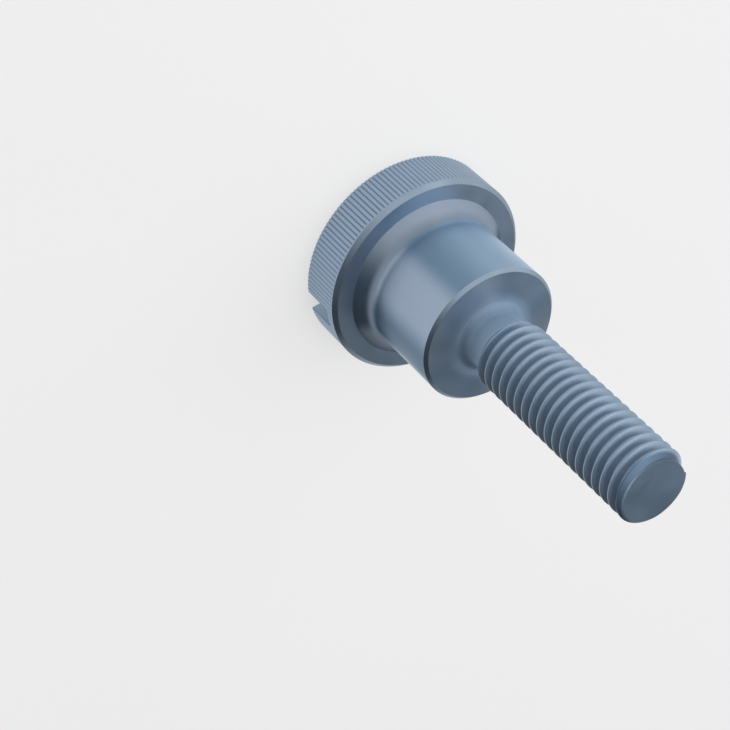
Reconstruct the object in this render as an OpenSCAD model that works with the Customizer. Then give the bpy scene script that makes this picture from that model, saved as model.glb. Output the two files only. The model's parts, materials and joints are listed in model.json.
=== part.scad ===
// Slotted thumb screw with a straight-knurled head, a long plain collar and an M8 thread.
//
// It is turned from one steel bar, so it is one solid. The bar is turned to
// the stepped outline, the head is knurled and the slot is sawn across it.
// The thread runs from the turned-down neck to the flat tip. Its profile, at
// its true pitch and depth, is turned as level rings.
//
// The screw stands on the slotted face of its head with the thread upwards.
// The axis is Z and the slot runs along X. All sizes are in millimetres.

/* [Head] */
// Diameter over the knurl teeth
head_d = 23.0; // [21:0.5:32]
// Thickness of the knurled head
head_t = 5.4; // [4.6:0.1:9]
// Bevel on the thread side of the head rim
head_bevel = 0.45; // [0.2:0.05:0.9]
// Diameter where the flat underside ring ends and the cone to the collar starts
ring_d = 18.6; // [17:0.2:20]

/* [Knurl] */
// Number of straight teeth round the head
teeth = 144; // [96:4:160]
// Depth of the V grooves between the teeth
knurl_depth = 0.1; // [0.06:0.02:0.3]
// Share of the tooth pitch left as a crest
crest_share = 0.4; // [0.1:0.05:0.6]
// Plain band between the end of the knurl and the bevel
rim_band = 0.2; // [0.1:0.05:0.6]

/* [Driver slot] */
// Width of the sawn slot
slot_w = 2.3; // [1.2:0.1:3]
// Depth of the slot below the head face
slot_depth = 3.9; // [2:0.1:4.2]

/* [Collar] */
// Diameter of the plain collar
collar_d = 15.7; // [13:0.1:16.2]
// Distance from the slotted face to the seating face of the collar
collar_end = 17.0; // [13:0.5:24]
// Bevel on the edge of the seating face
collar_bevel = 0.35; // [0.1:0.05:0.8]
// Radius blending the underside cone into the collar
blend_r = 2.5; // [1:0.1:3]

/* [Thread] */
// Outside diameter of the thread
thread_d = 8.0; // [7:0.5:9]
// Distance between neighbouring thread crests
pitch = 1.25; // [1:0.05:1.5]
// Distance from the seating face of the collar to the tip
thread_reach = 26.5; // [15:0.5:50]
// Diameter of the plain neck behind the thread
neck_d = 6.4; // [5.6:0.1:6.8]
// Distance from the seating face to the end of the straight neck
neck_len = 2.8; // [1.6:0.1:5]
// Radius between the neck and the seating face
neck_fillet = 1.0; // [0.3:0.1:1.5]

/* [Hidden] */
$fn = 96;

steel = [0.43, 0.50, 0.57];

head_r = head_d / 2;
ring_r = ring_d / 2;
collar_r = collar_d / 2;
thread_r = thread_d / 2;
neck_r = neck_d / 2;

// How far a cutting shape runs past the surface it starts from
over = 1.0;

bevel_r = head_r - head_bevel;
knurl_end = head_t - head_bevel - rim_band;
root_r = head_r - knurl_depth;
half_tooth = 180 / teeth;
crest_half = half_tooth * crest_share;
// The two flanks of a tooth would meet at this radius, outside the crest
apex_r = head_r + knurl_depth * crest_half / (half_tooth - crest_half);

ring_step = ring_r - collar_r;
cone_end = head_t + ring_step;
// The blend starts no higher up the cone than half of the cone's length
cone_len = ring_step / sin(45);
blend = min(blend_r, cone_len / 2 / tan(22.5));
blend_len = blend * tan(22.5);
blend_top = cone_end + blend_len;
blend_out = collar_r + blend_len * cos(45);
blend_low = cone_end - blend_len * sin(45);

// A larger fillet would reach into the thread
fillet = min(neck_fillet, neck_len / 2);
neck_end = collar_end + neck_len;
thread_start = neck_end + thread_r - neck_r;
tip_z = collar_end + thread_reach;

// A 60 degree thread profile with an eighth of the pitch left flat on the
// crests and a quarter in the roots
crest_flat = pitch / 8;
root_flat = pitch / 4;
flank = (pitch - crest_flat - root_flat) / 2;
thread_root_r = thread_r - flank / tan(30);
groove_count = floor((tip_z - thread_start) / pitch);

// The four corners of one groove of the thread, which starts at height z.
function thread_groove(z) = [
    [thread_r, z],
    [thread_root_r, z + flank],
    [thread_root_r, z + flank + root_flat],
    [thread_r, z + 2 * flank + root_flat]
];

// Half of the turned outline, before knurling. Two concave arcs are taken out
// of straight corners: one is tangent to the cone and the collar, the other to
// the seating face and the neck.
module turned_outline() {
    difference() {
        polygon([
            [0, 0],
            [head_r, 0],
            [head_r, head_t - head_bevel],
            [bevel_r, head_t],
            [ring_r, head_t],
            [blend_out, blend_low],
            [collar_r, blend_top],
            [collar_r, collar_end - collar_bevel],
            [collar_r - collar_bevel, collar_end],
            [neck_r + fillet, collar_end],
            [neck_r, collar_end + fillet],
            [neck_r, neck_end],
            [thread_r, thread_start],
            for (i = [0 : groove_count - 1])
                each thread_groove(thread_start + crest_flat + i * pitch),
            [thread_r, tip_z],
            [0, tip_z]
        ]);
        translate([collar_r + blend, blend_top]) circle(r = blend);
        translate([neck_r + fillet, collar_end + fillet]) circle(r = fillet);
    }
}

// A star with straight flanks from the groove roots up to the apex of every
// tooth. The turned rim cuts the points off, which leaves the round crests.
module tooth_ring() {
    polygon([
        for (i = [0 : 2 * teeth - 1])
            let (r = i % 2 == 0 ? apex_r : root_r, a = i * half_tooth)
                [r * cos(a), r * sin(a)]
    ]);
}

// The grooves between the teeth, open at the slotted face and closed at the
// plain band below the bevel.
module knurl_cut() {
    translate([0, 0, -over])
        linear_extrude(height = knurl_end + over)
            difference() {
                circle(r = head_r + over);
                tooth_ring();
            }
}

// The sawn slot, open at both sides of the head.
module slot_cut() {
    translate([-head_r - over, -slot_w / 2, -over])
        cube([head_d + 2 * over, slot_w, slot_depth + over]);
}

module thumb_screw() {
    color(steel)
        difference() {
            rotate_extrude() turned_outline();
            knurl_cut();
            slot_cut();
        }
}

thumb_screw();
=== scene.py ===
# %% [markdown]
# # A slotted, knurled thumb screw
# The real screw is turned from one steel bar, then knurled, slotted and threaded, so it is
# one piece of metal. The CAD frame holds its size, its steps, its knurl, its slot and its
# thread as level rings. This script builds the same screw as one fine mesh with the true
# helical thread, softened edges and a steel finish, and shows it in place of the CAD solid.

# %% Load the frame
import json
import math

import bmesh
import bpy
from mathutils import Matrix, Vector


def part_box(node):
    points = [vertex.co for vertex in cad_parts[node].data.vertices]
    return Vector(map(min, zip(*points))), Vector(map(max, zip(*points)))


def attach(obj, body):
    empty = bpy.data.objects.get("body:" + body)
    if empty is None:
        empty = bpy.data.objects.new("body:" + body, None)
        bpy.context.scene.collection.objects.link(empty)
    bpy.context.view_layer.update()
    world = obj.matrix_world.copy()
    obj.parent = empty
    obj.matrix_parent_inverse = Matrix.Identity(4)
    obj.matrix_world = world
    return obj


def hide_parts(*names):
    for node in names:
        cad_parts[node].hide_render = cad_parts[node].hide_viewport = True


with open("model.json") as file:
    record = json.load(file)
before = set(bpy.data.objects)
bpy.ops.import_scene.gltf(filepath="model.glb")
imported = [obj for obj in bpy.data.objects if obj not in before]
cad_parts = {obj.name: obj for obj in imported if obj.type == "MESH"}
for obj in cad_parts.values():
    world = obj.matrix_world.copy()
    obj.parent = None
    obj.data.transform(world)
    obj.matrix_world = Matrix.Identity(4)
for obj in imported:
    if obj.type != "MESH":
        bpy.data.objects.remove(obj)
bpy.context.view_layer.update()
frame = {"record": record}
MM = 0.001

# %% [markdown]
# ## Camera
# The camera comes first, because every later step is judged through it. It looks down on the
# standing screw at 41 degrees and is rolled, so that the tip points to the lower right. Its
# place was worked out from the outlines of the head, the collar, the thread and the tip. A
# camera can also be aimed with a tracking constraint, but a matrix states the roll exactly.

# %% Camera
PIXELS = 730
FOCAL_PX = 1919.6
EYE = Vector((67.96, -134.78, 139.65)) * MM
RIGHT = Vector((-0.83972, 0.14657, 0.52286))
UP = Vector((-0.46019, -0.70322, -0.54195))
camera_data = bpy.data.cameras.new("camera")
camera_data.sensor_width = 36.0
camera_data.lens = FOCAL_PX / PIXELS * camera_data.sensor_width
camera = bpy.data.objects.new("camera", camera_data)
turned = Matrix((RIGHT, UP, RIGHT.cross(UP))).transposed().to_4x4()
camera.matrix_world = Matrix.Translation(EYE) @ turned
bpy.context.scene.collection.objects.link(camera)
bpy.context.scene.camera = camera
print("camera lens:", round(camera_data.lens, 1), "mm")

# %% [markdown]
# ## Sizes
# The big sizes are read from the frame: the box gives the head and the length, and the
# mounts give the thread, the seating face and the slot's depth. The smaller steps repeat the
# values of the CAD source, in millimetres, because the frame doesn't state them.

# %% Sizes in millimetres
low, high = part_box("thumb_screw")
mounts = {m["name"]: m for m in frame["record"]["mounts"]}
thread_dims = mounts["thread"]["dims"]
HEAD_R = (high[0] - low[0]) / 2 / MM
TIP_Z = (high[2] - low[2]) / MM
SEAT_Z = mounts["seat"]["pos_m"][2] / MM
THREAD_R = thread_dims["r_mm"]
THREAD_START = mounts["thread"]["pos_m"][2] / MM - thread_dims["length_mm"] / 2
SLOT_DEPTH = mounts["driver_slot"]["pos_m"][2] / MM

HEAD_T = 5.4
HEAD_BEVEL = 0.45
RING_R = 9.3
COLLAR_R = 7.85
COLLAR_BEVEL = 0.35
NECK_R = 3.2
NECK_FILLET = 1.0
TEETH = 144
KNURL_DEPTH = 0.1
RIM_BAND = 0.2
SLOT_W = 2.3
PITCH = 1.25
print("head radius", round(HEAD_R, 3), "seat at", SEAT_Z, "slot depth", SLOT_DEPTH)
print("thread from", round(THREAD_START, 2), "to", round(TIP_Z, 2))

# %% [markdown]
# ## The turned outline
# A lathe makes rings, so the body is a stack of rings round Z, and each ring is a radius and
# a height. A spin of a drawn curve would do the same, but rings made in code can share their
# points with the knurl and the thread. The two hollow corners are true arcs. A spare ring
# close to each arc's end keeps the flat faces beside it flat when the shading is smoothed.

# %% The outline from the head's bevel to the neck
ARC_STEPS = 12
SPARE = 0.12
# Height at which the threaded rod is joined to the neck
NECK_JOIN = SEAT_Z + 1.6
CONE_ANGLE = math.radians(45)


def arc(centre_r, centre_z, radius, start, end):
    """Points of an arc in the outline's plane; the angles are in degrees, from +R towards +Z."""
    steps = [math.radians(start + (end - start) * i / ARC_STEPS) for i in range(ARC_STEPS + 1)]
    return [(centre_r + radius * math.cos(a), centre_z + radius * math.sin(a)) for a in steps]


# The arc between the cone and the collar takes half of the cone's length
cone_len = (RING_R - COLLAR_R) / math.sin(CONE_ANGLE)
blend_r = cone_len / 2 / math.tan(CONE_ANGLE / 2)
blend_z = HEAD_T + RING_R - COLLAR_R + cone_len / 2
blend_arc = arc(COLLAR_R + blend_r, blend_z, blend_r, 225, 180)
neck_arc = arc(NECK_R + NECK_FILLET, SEAT_Z + NECK_FILLET, NECK_FILLET, 270, 180)
outline = [
    (RING_R + SPARE, HEAD_T),
    (RING_R, HEAD_T),
    (blend_arc[0][0] + SPARE, blend_arc[0][1] - SPARE),
    *blend_arc,
    (COLLAR_R, blend_arc[-1][1] + SPARE),
    (COLLAR_R, SEAT_Z - COLLAR_BEVEL),
    (COLLAR_R - COLLAR_BEVEL, SEAT_Z),
    (neck_arc[0][0] + SPARE, SEAT_Z),
    *neck_arc,
    (NECK_R, neck_arc[-1][1] + SPARE),
    (NECK_R, NECK_JOIN),
]
print("outline:", len(outline), "rings, blend radius", round(blend_r, 2))

# %% [markdown]
# ## The knurled rim
# A straight knurl is rolled in by a toothed wheel, which leaves V grooves between rounded
# crests. A bump texture would fake it from the front, but not in the outline, so the teeth
# are geometry. Every tooth gets eight columns of points, four of them on its rounded crest.

# %% Columns round the head
# Place in the tooth as a share of its pitch, and share of the groove's depth there
TOOTH = [
    (-0.36, 0.5),
    (-0.23, 0.07),
    (-0.1, 0.0),
    (0.1, 0.0),
    (0.23, 0.07),
    (0.36, 0.5),
    (0.46, 0.95),
    (0.54, 0.95),
]
columns = []
for tooth in range(TEETH):
    for share, depth in TOOTH:
        columns.append((math.tau * (tooth + share) / TEETH, HEAD_R - KNURL_DEPTH * depth))
# The body behind the rim is smooth, so it gets one point for every GROUP of the rim's
GROUP = len(TOOTH) // 2
fine = [a for a, r in columns]
coarse = fine[::GROUP]
print("head columns:", len(fine), "body columns:", len(coarse))

# %% Rings of points
body = bmesh.new()


def ring(mesh, radius, z, angles):
    """One ring of points; sizes in millimetres."""
    return [mesh.verts.new((radius * math.cos(a) * MM, radius * math.sin(a) * MM, z * MM)) for a in angles]


def tooth_ring(inset, z):
    """A ring that follows the teeth, moved in by inset."""
    points = [((r - inset) * math.cos(a), (r - inset) * math.sin(a), z) for a, r in columns]
    return [body.verts.new(Vector(p) * MM) for p in points]


def bridge(mesh, below, above):
    """Quads between two rings with the same number of points."""
    n = len(below)
    for i in range(n):
        mesh.faces.new((below[i], below[(i + 1) % n], above[(i + 1) % n], above[i]))


def fan(mesh, outer, inner, up):
    """Joins a fine outer ring to an inner ring with one point for every GROUP of the outer one."""
    n = len(inner)
    for i in range(n):
        edge = [outer[(i * GROUP + k) % len(outer)] for k in range(GROUP + 1)]
        face = [inner[i], *edge, inner[(i + 1) % n]]
        mesh.faces.new(face if up else face[::-1])


def lathe(mesh, first, rings, angles):
    """Bridges the first ring to each of the next ones in turn; returns the last one."""
    last = first
    for radius, z in rings:
        made = ring(mesh, radius, z, angles)
        bridge(mesh, last, made)
        last = made
    return last


# %% The head and collar
EDGE_BREAK = 0.05
# Inside this radius the head's two flats have only the body's coarse columns
FLAT_R = HEAD_R - 0.6
bevel_z = HEAD_T - HEAD_BEVEL
rim_low = tooth_ring(EDGE_BREAK, 0.0)
rim_edge = tooth_ring(0.0, EDGE_BREAK)
# The grooves run out over their own depth
knurl_top = tooth_ring(0.0, bevel_z - RIM_BAND - KNURL_DEPTH / 2)
bridge(body, rim_low, rim_edge)
bridge(body, rim_edge, knurl_top)
rim = [(HEAD_R, bevel_z - RIM_BAND + KNURL_DEPTH / 2), (HEAD_R, bevel_z), (HEAD_R - HEAD_BEVEL, HEAD_T)]
bevel_in = lathe(body, knurl_top, rim, fine)
flat_out = ring(body, FLAT_R, HEAD_T, coarse)
fan(body, bevel_in, flat_out, True)
lathe(body, flat_out, outline, coarse)
back_out = ring(body, FLAT_R, 0.0, coarse)
fan(body, rim_low, back_out, False)
body.faces.new(back_out[::-1])
print("head and collar:", len(body.faces), "faces")

# %% [markdown]
# ## The thread
# A metric coarse thread has 60 degree flanks, narrow flats on its crests and rounded roots.
# A screw modifier could sweep a profile, but it makes every turn alike. Here the surface is a
# grid made in code, which follows the helix, so crests and roots lie along its edges, and the
# ridge can drop and fade out near the tip. The grid is longer than needed, and a Boolean with
# the turned blank trims it, as a real thread is cut on a blank of the right length.

# %% The thread's profile
# The depth and the crest's half width that go with a metric thread's rounded root
THREAD_DEPTH = 0.6134 * PITCH
CREST_HALF = PITCH / 16
CREST_ROUND = 0.03
ROOT_ROUND = 0.06
FLANK_SLOPE = math.tan(math.radians(30))


def thread_profile():
    """One pitch of the thread, from root to root, as heights and radii in millimetres."""
    root_r = THREAD_R - THREAD_DEPTH
    crest_z = PITCH / 2 - CREST_HALF
    flank_low = crest_z - THREAD_DEPTH * FLANK_SLOPE
    # Three points along the root's hollow, the flank's two ends and three round the crest
    half = [
        (0.0, root_r),
        (flank_low * 0.45, root_r + 0.01),
        (flank_low * 0.9, root_r + 0.035),
        (flank_low + ROOT_ROUND * 0.7, root_r + 0.11),
        (crest_z - CREST_ROUND, THREAD_R - CREST_ROUND / FLANK_SLOPE),
        (crest_z - 0.2 * CREST_ROUND, THREAD_R - 0.55 * CREST_ROUND),
        (crest_z + 0.6 * CREST_ROUND, THREAD_R - 0.12 * CREST_ROUND),
        (PITCH / 2, THREAD_R),
    ]
    return half + [(PITCH - z, r) for z, r in half[-2:0:-1]]


profile = thread_profile()
print("thread profile:", len(profile), "points per pitch, root at", round(profile[0][1], 3))

# %% The helical grid, longer than needed
TURN_STEPS = 144
# The end face cuts the ridge's crest at the first angle round the axis. At the second one
# the ridge drops to END_SHARE of its depth, and it fades out over FADE_TURNS from there.
CREST_CUT_ANGLE = 113.5
RIDGE_END_ANGLE = 174
END_SHARE = 0.72
FADE_TURNS = 38 / 360
RIDGE_END_Z = TIP_Z + PITCH * (RIDGE_END_ANGLE - CREST_CUT_ANGLE) / 360
TURNS = math.ceil((TIP_Z - SEAT_Z) / PITCH) + 1
RIDGE_TURNS = TURNS - 1.5
ROD_LOW = RIDGE_END_Z - PITCH / 2 - PITCH * RIDGE_TURNS
THREAD_PHASE = math.radians(RIDGE_END_ANGLE) - math.tau * RIDGE_TURNS
rod = bmesh.new()
steps = TURNS * TURN_STEPS
width = len(profile)
grid = []
for i in range(steps + 1):
    turn = i / TURN_STEPS
    a = math.tau * turn + THREAD_PHASE
    share = 1.0
    if turn > RIDGE_TURNS:
        share = max(0.0, END_SHARE * (1 - (turn - RIDGE_TURNS) / FADE_TURNS))
    row = []
    for z, r in profile:
        r = profile[0][1] + (r - profile[0][1]) * share
        point = Vector((r * math.cos(a), r * math.sin(a), ROD_LOW + PITCH * turn + z))
        row.append(rod.verts.new(point * MM))
    grid.append(row)
print("helical grid:", len(grid), "by", width, "points")

# %% The grid's faces


def grid_point(i, j):
    """A point of the helical grid; past the profile's end it is the start of the turn above."""
    if j < width:
        return grid[i][j]
    return grid[i + TURN_STEPS][j - width]


for i in range(steps):
    for j in range(width):
        if j + 1 == width and i + TURN_STEPS + 1 > steps:
            continue
        low_side = (grid_point(i, j), grid_point(i + 1, j))
        high_side = (grid_point(i + 1, j + 1), grid_point(i, j + 1))
        rod.faces.new((*low_side, *high_side))

# The open ends are closed to a point on the axis, below the neck and above the tip
CAP = 0.1
bottom = rod.verts.new((0, 0, (ROD_LOW - CAP) * MM))
top = rod.verts.new((0, 0, (ROD_LOW + PITCH * (TURNS + 1) + CAP) * MM))
last_turn = steps - TURN_STEPS
for i in range(TURN_STEPS):
    rod.faces.new((grid[i + 1][0], grid[i][0], bottom))
    rod.faces.new((grid[last_turn + i][-1], grid[last_turn + i + 1][-1], top))
lower_wall = [*grid[0], grid[TURN_STEPS][0]]
upper_wall = [grid[last_turn][-1], *grid[steps]]
for j in range(width):
    rod.faces.new((lower_wall[j], lower_wall[j + 1], bottom))
    rod.faces.new((upper_wall[j + 1], upper_wall[j], top))
bmesh.ops.recalc_face_normals(rod, faces=rod.faces)
print("rod:", len(rod.faces), "faces, open edges:", sum(not e.is_manifold for e in rod.edges))

# %% Objects and Booleans


def to_object(mesh, name):
    """Turns a bmesh into an object in the scene."""
    data = bpy.data.meshes.new(name)
    mesh.to_mesh(data)
    mesh.free()
    obj = bpy.data.objects.new(name, data)
    bpy.context.scene.collection.objects.link(obj)
    return obj


def combine(target, tool, operation):
    """Runs a Boolean on the target, keeps the result and throws the tool away."""
    cut = target.modifiers.new("cut", "BOOLEAN")
    cut.operation = operation
    cut.solver = "EXACT"
    cut.object = tool
    evaluated = target.evaluated_get(bpy.context.evaluated_depsgraph_get())
    result = bpy.data.meshes.new_from_object(evaluated)
    target.modifiers.clear()
    target.data = result
    bpy.data.objects.remove(tool)


# %% Trim the rod to the blank
OUTSIDE = 0.5
blank = bmesh.new()
blank_rings = [
    (NECK_R, THREAD_START - (THREAD_R - NECK_R)),
    (THREAD_R + OUTSIDE, THREAD_START + OUTSIDE),
    (THREAD_R + OUTSIDE, TIP_Z),
]
blank_first = ring(blank, NECK_R, NECK_JOIN, coarse)
blank_last = lathe(blank, blank_first, blank_rings, coarse)
blank.faces.new(blank_first[::-1])
blank.faces.new(blank_last)
rod_obj = to_object(rod, "rod")
combine(rod_obj, to_object(blank, "blank"), "INTERSECT")
print("trimmed rod:", len(rod_obj.data.polygons), "faces")

# %% Join the rod to the neck
WELD = 0.002
trimmed = bmesh.new()
trimmed.from_mesh(rod_obj.data)
# The face on which the rod met the neck is inside the metal now
join_top = (NECK_JOIN + 0.01) * MM
inside = [f for f in trimmed.faces if f.normal.z < -0.99 and f.calc_center_median().z < join_top]
bmesh.ops.delete(trimmed, geom=inside, context="FACES")
trimmed.to_mesh(rod_obj.data)
trimmed.free()
body.from_mesh(rod_obj.data)
bpy.data.objects.remove(rod_obj)
bmesh.ops.remove_doubles(body, verts=body.verts, dist=WELD * MM)
open_edges = sum(not e.is_manifold for e in body.edges)
print("screw before the slot:", len(body.faces), "faces, open edges:", open_edges)

# %% [markdown]
# ## The driver slot
# A circular saw cuts the slot straight across the head. Its faces could be laid by hand, but
# they cross teeth and rings, so a Boolean with a long bar is simpler. The bar flares by a few
# hundredths of a millimetre at the slot's mouth, which breaks the sharp edge as deburring
# does, and its corners are rounded like those of a worn saw.

# %% Cut the slot
SLOT_BREAK = 0.06
FLOOR_ROUND = 0.15
# How far the bar runs past the head
OVER = 1.0
half_w = SLOT_W / 2
section = [
    (-half_w - SLOT_BREAK, -OVER),
    (-half_w - SLOT_BREAK, 0.0),
    (-half_w, SLOT_BREAK),
    (-half_w, SLOT_DEPTH - FLOOR_ROUND),
    (-half_w + 0.3 * FLOOR_ROUND, SLOT_DEPTH - 0.3 * FLOOR_ROUND),
    (-half_w + FLOOR_ROUND, SLOT_DEPTH),
]
section = section + [(-y, z) for y, z in section[::-1]]
saw = bmesh.new()
ends = []
for x in (-HEAD_R - OVER, HEAD_R + OVER):
    ends.append([saw.verts.new(Vector((x, y, z)) * MM) for y, z in section])
bridge(saw, *ends)
saw.faces.new(ends[0])
saw.faces.new(ends[1][::-1])
bmesh.ops.recalc_face_normals(saw, faces=saw.faces)
screw = to_object(body, "screw_body")
combine(screw, to_object(saw, "saw"), "DIFFERENCE")
print("screw:", len(screw.data.polygons), "faces")

# %% [markdown]
# ## Shading and place
# Smooth shading would melt the machined edges, so every edge that turns by more than 32
# degrees is marked as sharp, and so is the rim of the flat end, where the thread runs out
# at a shallow angle. A bevel modifier would round the edges in the mesh, but the edges that
# are broken on the real screw are modelled already. The mesh then takes the CAD solid's place.

# %% Shade it and put it in place
SHARP = math.radians(32)
screw.data.shade_smooth()
screw.data.set_sharp_from_angle(angle=SHARP)
shaded = bmesh.new()
shaded.from_mesh(screw.data)
end_low = (TIP_Z - 0.01) * MM
for edge in shaded.edges:
    on_end = [f.normal.z > 0.9999 and f.calc_center_median().z > end_low for f in edge.link_faces]
    if len(set(on_end)) == 2:
        edge.smooth = False
print("screw's open edges:", sum(not e.is_manifold for e in shaded.edges))
shaded.to_mesh(screw.data)
shaded.free()
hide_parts("thumb_screw")
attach(screw, "root")

# %% [markdown]
# ## Steel
# The screw is turned free-cutting steel with a thin blue-grey film and a trace of oil. That gives the eye
# a soft, cool mirror: metallic 1 and a mid roughness. Broad runs of cyan and violet grey along the collar
# are painted reflections. Hollow corners are duller, and the knurl's grooves and the thread's roots are
# darker. Such a finish can be painted as an image on an unwrapped mesh. Here it is worked out from places
# on the screw, which needs neither.

# %% Colour and node helpers


def srgb(code):
    """A hex colour as linear values."""
    parts = [int(code[i:i + 2], 16) / 255 for i in (1, 3, 5)]
    return [p / 12.92 if p <= 0.04045 else ((p + 0.055) / 1.055) ** 2.4 for p in parts] + [1.0]


def add(tree, kind, settings=None, inputs=None):
    """Adds a node with its settings; each input, by name or number, gets a value or a link."""
    node = tree.nodes.new(kind)
    for name, value in (settings or {}).items():
        setattr(node, name, value)
    for name, value in (inputs or {}).items():
        if isinstance(value, bpy.types.NodeSocket):
            tree.links.new(value, node.inputs[name])
        else:
            node.inputs[name].default_value = value
    return node


def material(name, colour, roughness, metallic):
    """A new material; returns it with its node tree and its shader."""
    made = bpy.data.materials.new(name)
    made.use_nodes = True
    shader = made.node_tree.nodes["Principled BSDF"]
    shader.inputs["Base Color"].default_value = srgb(colour)
    shader.inputs["Roughness"].default_value = roughness
    shader.inputs["Metallic"].default_value = metallic
    return made, made.node_tree, shader


print("mid grey as linear values:", [round(v, 3) for v in srgb("#808080")[:3]])

# %% Places on the screw
STEEL_TONE = "#879FB7"
steel, tree, shader = material("turned_steel", STEEL_TONE, 0.4, 1.0)
where = add(tree, "ShaderNodeTexCoord").outputs["Object"]
split = add(tree, "ShaderNodeSeparateXYZ", inputs={"Vector": where})
across = add(tree, "ShaderNodeCombineXYZ", inputs={"X": split.outputs["X"], "Y": split.outputs["Y"]})
reach = add(tree, "ShaderNodeVectorMath", {"operation": "LENGTH"}, {0: across.outputs["Vector"]})
surface = add(tree, "ShaderNodeNewGeometry")
facing = add(tree, "ShaderNodeSeparateXYZ", inputs={"Vector": surface.outputs["Normal"]})
tilt = add(tree, "ShaderNodeMath", {"operation": "ABSOLUTE"}, {0: facing.outputs["Z"]})
# The share of a half turn round the axis, counted from RUNS_FROM degrees
RUNS_FROM = 24
angle = add(
    tree,
    "ShaderNodeMath",
    {"operation": "ARCTAN2"},
    {0: split.outputs["Y"], 1: split.outputs["X"]},
)
half_turns = add(
    tree,
    "ShaderNodeMath",
    {"operation": "MULTIPLY_ADD"},
    {0: angle.outputs["Value"], 1: 1 / math.pi, 2: -RUNS_FROM / 180},
)
half_turn = add(tree, "ShaderNodeMath", {"operation": "FRACT"}, {0: half_turns.outputs["Value"]})
place = {
    "height": split.outputs["Z"],
    "reach": reach.outputs["Value"],
    "tilt": tilt.outputs["Value"],
    "half_turn": half_turn.outputs["Value"],
}
print("steel is placed by:", *place)

# %% Soft borders between the places
# What is measured, where the share starts and stops changing, and the share at both.
# Height and reach from the axis are in millimetres, tilt is 0 on walls and 1 on flats, and
# half_turn goes from 0 to 1 twice round the axis.
BORDERS = {
    "blend_low": ("height", HEAD_T, HEAD_T + 0.1, 0, 1),
    "blend_high": ("height", 6.7, 7.5, 1, 0),
    "cone_high": ("height", 6.3, 6.9, 1, 0),
    "collar_low": ("height", 6.6, 7.4, 0, 1),
    "collar_high": ("height", SEAT_Z - 0.1, SEAT_Z, 1, 0),
    # Round the axis: where the painted shade runs on the cone and the bevels lie
    "shade_run_start": ("half_turn", 0.5, 0.72, 0, 1),
    "shade_run_end": ("half_turn", 0.88, 0.97, 1, 0),
    # Round the axis: where the seating face is painted lighter
    "light_patch_start": ("half_turn", 0.2, 0.38, 0, 1),
    "light_patch_end": ("half_turn", 0.66, 0.92, 1, 0),
    "on_seat": ("height", SEAT_Z - 0.05, SEAT_Z - 0.02, 0, 1),
    "near_neck": ("reach", 3.4, 5.4, 1, 0),
    "under_thread": ("height", SEAT_Z + 2, SEAT_Z + 4, 1, 0),
    "neck_low": ("height", SEAT_Z + 0.1, SEAT_Z + 1.0, 0, 1),
    "neck_high": ("height", THREAD_START - 0.7, THREAD_START - 0.4, 1, 0),
    "groove_top": ("reach", HEAD_R - 0.075, HEAD_R - 0.015, 1, 0),
    "on_rim": ("reach", HEAD_R - 0.15, HEAD_R - 0.12, 0, 1),
    "under_bevel": ("height", bevel_z - 0.1, bevel_z, 1, 0),
    "on_thread": ("height", THREAD_START - 0.5, THREAD_START + 0.5, 0, 1),
    "root": ("reach", 3.2, 3.8, 1, 0),
    "last_turn": ("height", TIP_Z - 0.75, TIP_Z - 0.5, 0, 1),
    "at_end": ("height", TIP_Z - 0.14, TIP_Z - 0.06, 0, 1),
    "wall": ("tilt", 0.15, 0.6, 1, 0),
    "slope_low": ("tilt", 0.62, 0.68, 0, 1),
    "slope_high": ("tilt", 0.74, 0.8, 1, 0),
    "outer": ("reach", 6.5, 7.0, 0, 1),
    "flat": ("tilt", 0.965, 0.975, 0, 1),
    "under_collar": ("height", 8, 9, 1, 0),
    "not_flat": ("tilt", 0.965, 0.975, 1, 0),
}
for name, (measure, start, end, share_start, share_end) in BORDERS.items():
    unit = MM if measure in ("height", "reach") else 1.0
    border = add(
        tree,
        "ShaderNodeMapRange",
        {"interpolation_type": "SMOOTHSTEP"},
        {
            "Value": place[measure],
            "From Min": start * unit,
            "From Max": end * unit,
            "To Min": share_start,
            "To Max": share_end,
        },
    )
    place[name] = border.outputs["Result"]
print("borders:", len(BORDERS))

# %% Regions made of several borders
# A region is where all of its borders' shares are high
REGIONS = {
    "blend_hollow": ("blend_low", "blend_high"),
    # Painted shade: a dark run on one side of the cone
    "cone_shade_run": ("blend_low", "cone_high", "shade_run_start", "shade_run_end"),
    "collar": ("collar_low", "collar_high", "wall"),
    "neck_corner": ("near_neck", "on_seat", "under_thread"),
    "neck": ("neck_low", "neck_high"),
    "bevels": ("slope_low", "slope_high", "outer"),
    # Painted shade: a dark run on one side of the bevels
    "bevel_shade_run": ("slope_low", "slope_high", "outer", "shade_run_start", "shade_run_end"),
    "underside": ("flat", "under_collar"),
    # Painted light: a lighter patch on one side of the seating face
    "seat_light_patch": ("flat", "on_seat", "under_thread", "light_patch_start", "light_patch_end"),
    "rim": ("wall", "under_bevel"),
    "knurl_grooves": ("groove_top", "on_rim", "under_bevel"),
    "thread": ("on_thread", "not_flat"),
    "thread_roots": ("root", "on_thread", "not_flat"),
    "thread_end": ("last_turn", "not_flat"),
    "end_edge": ("at_end", "not_flat"),
}
for name, parts in REGIONS.items():
    region = place[parts[0]]
    for part in parts[1:]:
        overlap = add(tree, "ShaderNodeMath", {"operation": "MULTIPLY"}, {0: region, 1: place[part]})
        region = overlap.outputs["Value"]
    place[name] = region
print("regions:", ", ".join(REGIONS))

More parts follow.
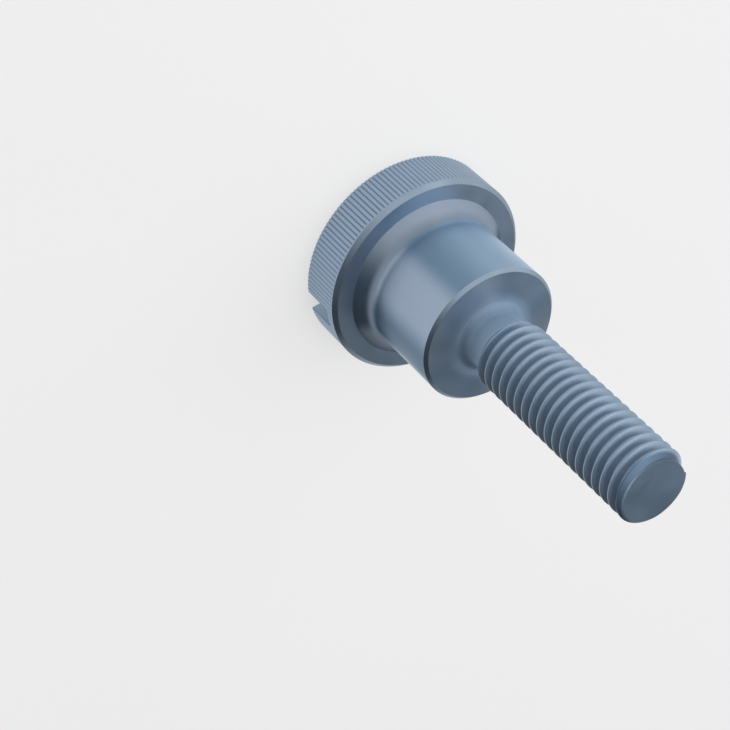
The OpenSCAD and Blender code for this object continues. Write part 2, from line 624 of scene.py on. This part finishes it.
# %% [markdown]
# ### Colour
# Light and dark runs along the collar are painted reflections: dark, violet grey and pale bands in place
# of what the steel mirrors. A noise would draw runs too, but a colour ramp round the axis puts each one in
# its place. The pattern comes twice round the collar. Layers of tint then follow the other regions, and
# each was matched to the real screw by comparing tones. Several of them paint light or shade: lighter
# bevels, hollow, neck and end edge, and a darker last turn. The knurl's grooves and the thread's roots are
# darker too. Three of the tints are laid out round the axis: the painted dark runs on the cone and on the
# bevels, and the painted light part of the seating face.

# %% The collar's painted reflection runs
# Tones of the painted reflections, light and dark bands round the collar
REFLECTION_BANDS = {
    "darkest_band": "#667F96",
    "dark_band": "#758FA6",
    "mid_band": "#93AEC5",
    "violet_band": "#A4B5C9",
    "palest_band": "#B0CBE2",
}
# Where each tone lies, in degrees round the axis from +X towards +Y
RUNS = [
    (24, "palest_band"),
    (70, "mid_band"),
    (106, "dark_band"),
    (124, "violet_band"),
    (147, "violet_band"),
    (172, "darkest_band"),
    (186, "darkest_band"),
    (204, "palest_band"),
]
# A colour ramp round the axis paints the reflection runs on the collar
painted_reflection = add(tree, "ShaderNodeValToRGB", inputs={"Fac": place["half_turn"]})
painted_reflection.color_ramp.interpolation = "EASE"
stops = painted_reflection.color_ramp.elements
# The ramp comes with two stops, and the first one is kept for the first tone
stops.remove(stops[1])
for degrees, tone in RUNS:
    share = (degrees - RUNS_FROM) / 180
    stop = stops.new(share) if share > 0 else stops[0]
    stop.position = share
    stop.color = srgb(REFLECTION_BANDS[tone])
steel_colour = add(
    tree,
    "ShaderNodeMix",
    {"data_type": "RGBA"},
    {0: place["collar"], 6: srgb(STEEL_TONE), 7: painted_reflection.outputs["Color"]},
)
colour = steel_colour.outputs[2]
print("film stops in degrees:", [round(stop.position * 180 + RUNS_FROM) for stop in stops])

# %% Tints of the regions
# Region, how much of the tint it takes, and the tint
TINTS = [
    # Painted highlight: the bevels are tinted lighter and greyer
    ("bevels", 0.9, "#98A8B8"),
    # Painted shade: a dark run on one side of the bevels
    ("bevel_shade_run", 0.8, "#6B7E93"),
    ("underside", 1.0, "#899DB2"),
    # Painted light: one side of the seating face is tinted lighter
    ("seat_light_patch", 0.8, "#A6B4C2"),
    # Painted light: the hollow between the cone and the collar is tinted lighter and greyer
    ("blend_hollow", 1.0, "#9DAABA"),
    # Painted shade: a dark run on one side of the cone
    ("cone_shade_run", 0.92, "#4F6478"),
    ("rim", 1.0, "#9CB0C5"),
    # The knurl's grooves and the thread's roots are tinted darker
    ("knurl_grooves", 0.45, "#52657A"),
    ("thread_roots", 0.18, "#52657A"),
    # Painted light: the neck and the seating face round it are tinted lighter
    ("neck_corner", 0.25, "#A6B8CA"),
    ("neck", 1.0, "#ABC0D4"),
    ("thread", 0.28, "#B2BCC5"),
    # Painted shade: the last turn of the thread is darker
    ("thread_end", 0.85, "#4A5E74"),
    # Painted highlight: a light band at the edge of the flat end
    ("end_edge", 0.5, "#A9BACB"),
]
for name, amount, code in TINTS:
    factor = add(tree, "ShaderNodeMath", {"operation": "MULTIPLY"}, {0: place[name], 1: amount})
    layer = add(
        tree,
        "ShaderNodeMix",
        {"data_type": "RGBA"},
        {0: factor.outputs["Value"], 6: colour, 7: srgb(code)},
    )
    colour = layer.outputs[2]
tree.links.new(colour, shader.inputs["Base Color"])
print("tints:", len(TINTS))

# %% [markdown]
# ### Roughness and tool marks
# Fine turned steel with a trace of oil has a roughness near 0.4, and handling makes it
# cloudy. The tool can't polish a hollow corner or a thread as well as a plain wall, so they
# are rougher. The tool's rings could be grooves in the mesh, but they are far finer than its
# faces, so a bump draws them. They follow the tool's path over the outline: z minus the
# distance from the axis runs along walls, flats and cones alike, so one noise does them all.

# %% Roughness
CLOUD_MM = 3
PLAIN = (0.37, 0.43)
DULLER = {"blend_hollow": 0.18, "neck_corner": 0.3, "thread": 0.1}
clouds = add(
    tree,
    "ShaderNodeTexNoise",
    inputs={"Vector": where, "Scale": 1 / (CLOUD_MM * MM), "Detail": 4.0, "Roughness": 0.55},
)
handled = add(
    tree,
    "ShaderNodeMapRange",
    inputs={
        "Value": clouds.outputs["Fac"],
        "From Min": 0.3,
        "From Max": 0.7,
        "To Min": PLAIN[0],
        "To Max": PLAIN[1],
    },
)
rough = handled.outputs["Result"]
for name, more in DULLER.items():
    added = add(
        tree,
        "ShaderNodeMath",
        {"operation": "MULTIPLY_ADD"},
        {0: place[name], 1: more, 2: rough},
    )
    rough = added.outputs["Value"]
tree.links.new(rough, shader.inputs["Roughness"])
print("roughness:", PLAIN[0], "to", PLAIN[1], "and more on:", ", ".join(DULLER))

# %% Tool marks
# The tool leaves rings about 0.08 mm apart, finer than a pixel, so they are drawn 0.3 mm apart
RING_MM = 0.3
tool_path = add(tree, "ShaderNodeMath", {"operation": "SUBTRACT"}, {0: place["height"], 1: place["reach"]})
rings = add(
    tree,
    "ShaderNodeTexNoise",
    {"noise_dimensions": "1D"},
    {"W": tool_path.outputs["Value"], "Scale": 1 / (RING_MM * MM), "Detail": 3.0, "Roughness": 0.6},
)
marks = add(
    tree,
    "ShaderNodeBump",
    inputs={"Height": rings.outputs["Fac"], "Strength": 0.07, "Distance": 0.02 * MM},
)
tree.links.new(marks.outputs["Normal"], shader.inputs["Normal"])
screw.data.materials.clear()
screw.data.materials.append(steel)
print("steel:", len(tree.nodes), "nodes")

# %% [markdown]
# ## Floor
# The screw stands on its slotted face on pale matt paper. A lit floor alone would darken
# away from the lamps. More light would even it out, but it would wash out the steel as well.
# So most of what the camera and the metal see of the paper is an even pale tone, all of it
# from 30 cm on. Near the screw the lit part stays, with the screw's shadow.

# %% Pale paper floor
FLOOR_SIZE = 3.0
floor_mesh = bmesh.new()
bmesh.ops.create_grid(floor_mesh, x_segments=1, y_segments=1, size=FLOOR_SIZE)
floor = to_object(floor_mesh, "floor")
paper, tree, shader = material("pale_paper", "#F4F4F4", 0.9, 0.0)
rays = add(tree, "ShaderNodeLightPath").outputs
seen = rays["Is Camera Ray"]
for kind in ("Is Glossy Ray", "Is Transmission Ray"):
    either = add(tree, "ShaderNodeMath", {"operation": "MAXIMUM"}, {0: seen, 1: rays[kind]})
    seen = either.outputs["Value"]
ground = add(tree, "ShaderNodeTexCoord")
away = add(tree, "ShaderNodeVectorMath", {"operation": "LENGTH"}, {0: ground.outputs["Object"]})
even = add(
    tree,
    "ShaderNodeMapRange",
    {"interpolation_type": "SMOOTHSTEP"},
    {"Value": away.outputs["Value"], "From Min": 0.05, "From Max": 0.3, "To Min": 0.7, "To Max": 1.0},
)
even_part = add(tree, "ShaderNodeMath", {"operation": "MULTIPLY"}, {0: seen, 1: even.outputs["Result"]})
glow = add(tree, "ShaderNodeEmission", inputs={"Color": srgb("#F0F0F0"), "Strength": 1.0})
both = add(
    tree,
    "ShaderNodeMixShader",
    inputs={0: even_part.outputs["Value"], 1: shader.outputs["BSDF"], 2: glow.outputs["Emission"]},
)
tree.links.new(both.outputs["Shader"], tree.nodes["Material Output"].inputs["Surface"])
floor.data.materials.append(paper)
print("floor:", 2 * FLOOR_SIZE, "m wide")

# %% [markdown]
# ## Lamps
# Steel shows what is round it, so its tones also come from where the lamps stand. A wide
# softbox overhead and a weak one at 60 degrees light the floor and the flats, a row at 40
# degrees lights the bevels and flanks, and a low row draws the soft light along the crests.
# A photo of a studio round the screw would do too, but lamps are easier to move one by one.
# All are wide discs, which keep the reflections soft, and they are weak, so pale tones don't
# clip. The room adds a dim even light, which keeps the shadows open.

# %% Softboxes
LAMP_DISTANCE = 0.4
LAMP_AIM = Vector((0, 0, 0.02))
# Azimuth and elevation in degrees, size in metres and power in watts
LAMPS = [
    (180, 80, 0.4, 1.05),
    (60, 60, 0.3, 0.08),
    (180, 40, 0.3, 0.23),
    (225, 40, 0.3, 0.12),
    (270, 40, 0.3, 0.18),
    (315, 40, 0.3, 0.07),
    (0, 16, 0.2, 0.06),
    (135, 16, 0.2, 0.17),
    (180, 16, 0.3, 0.17),
    (225, 16, 0.2, 0.18),
    (270, 16, 0.2, 0.06),
    (315, 16, 0.2, 0.12),
]
for azimuth, elevation, size, power in LAMPS:
    a, e = math.radians(azimuth), math.radians(elevation)
    towards = Vector((math.cos(a) * math.cos(e), math.sin(a) * math.cos(e), math.sin(e)))
    softbox = bpy.data.lights.new("softbox", "AREA")
    softbox.shape = "DISK"
    softbox.size = size
    softbox.energy = power
    lamp = bpy.data.objects.new("softbox", softbox)
    lamp.location = LAMP_AIM + towards * LAMP_DISTANCE
    lamp.rotation_euler = (-towards).to_track_quat("-Z", "Y").to_euler()
    bpy.context.scene.collection.objects.link(lamp)
print("lamps:", len(LAMPS), "with", round(sum(power for *_, power in LAMPS), 2), "W in all")

# %% The room's own dim light
ROOM_LIGHT = 0.06
world = bpy.data.worlds.new("studio")
bpy.context.scene.world = world
world.use_nodes = True
background = world.node_tree.nodes["Background"]
background.inputs["Color"].default_value = srgb("#FFFFFF")
background.inputs["Strength"].default_value = ROOM_LIGHT
print("room light:", ROOM_LIGHT)

# %% [markdown]
# ## Finish
# Standard colours keep each tone as it was written.

# %% Finish
bpy.context.scene.view_settings.view_transform = "Standard"
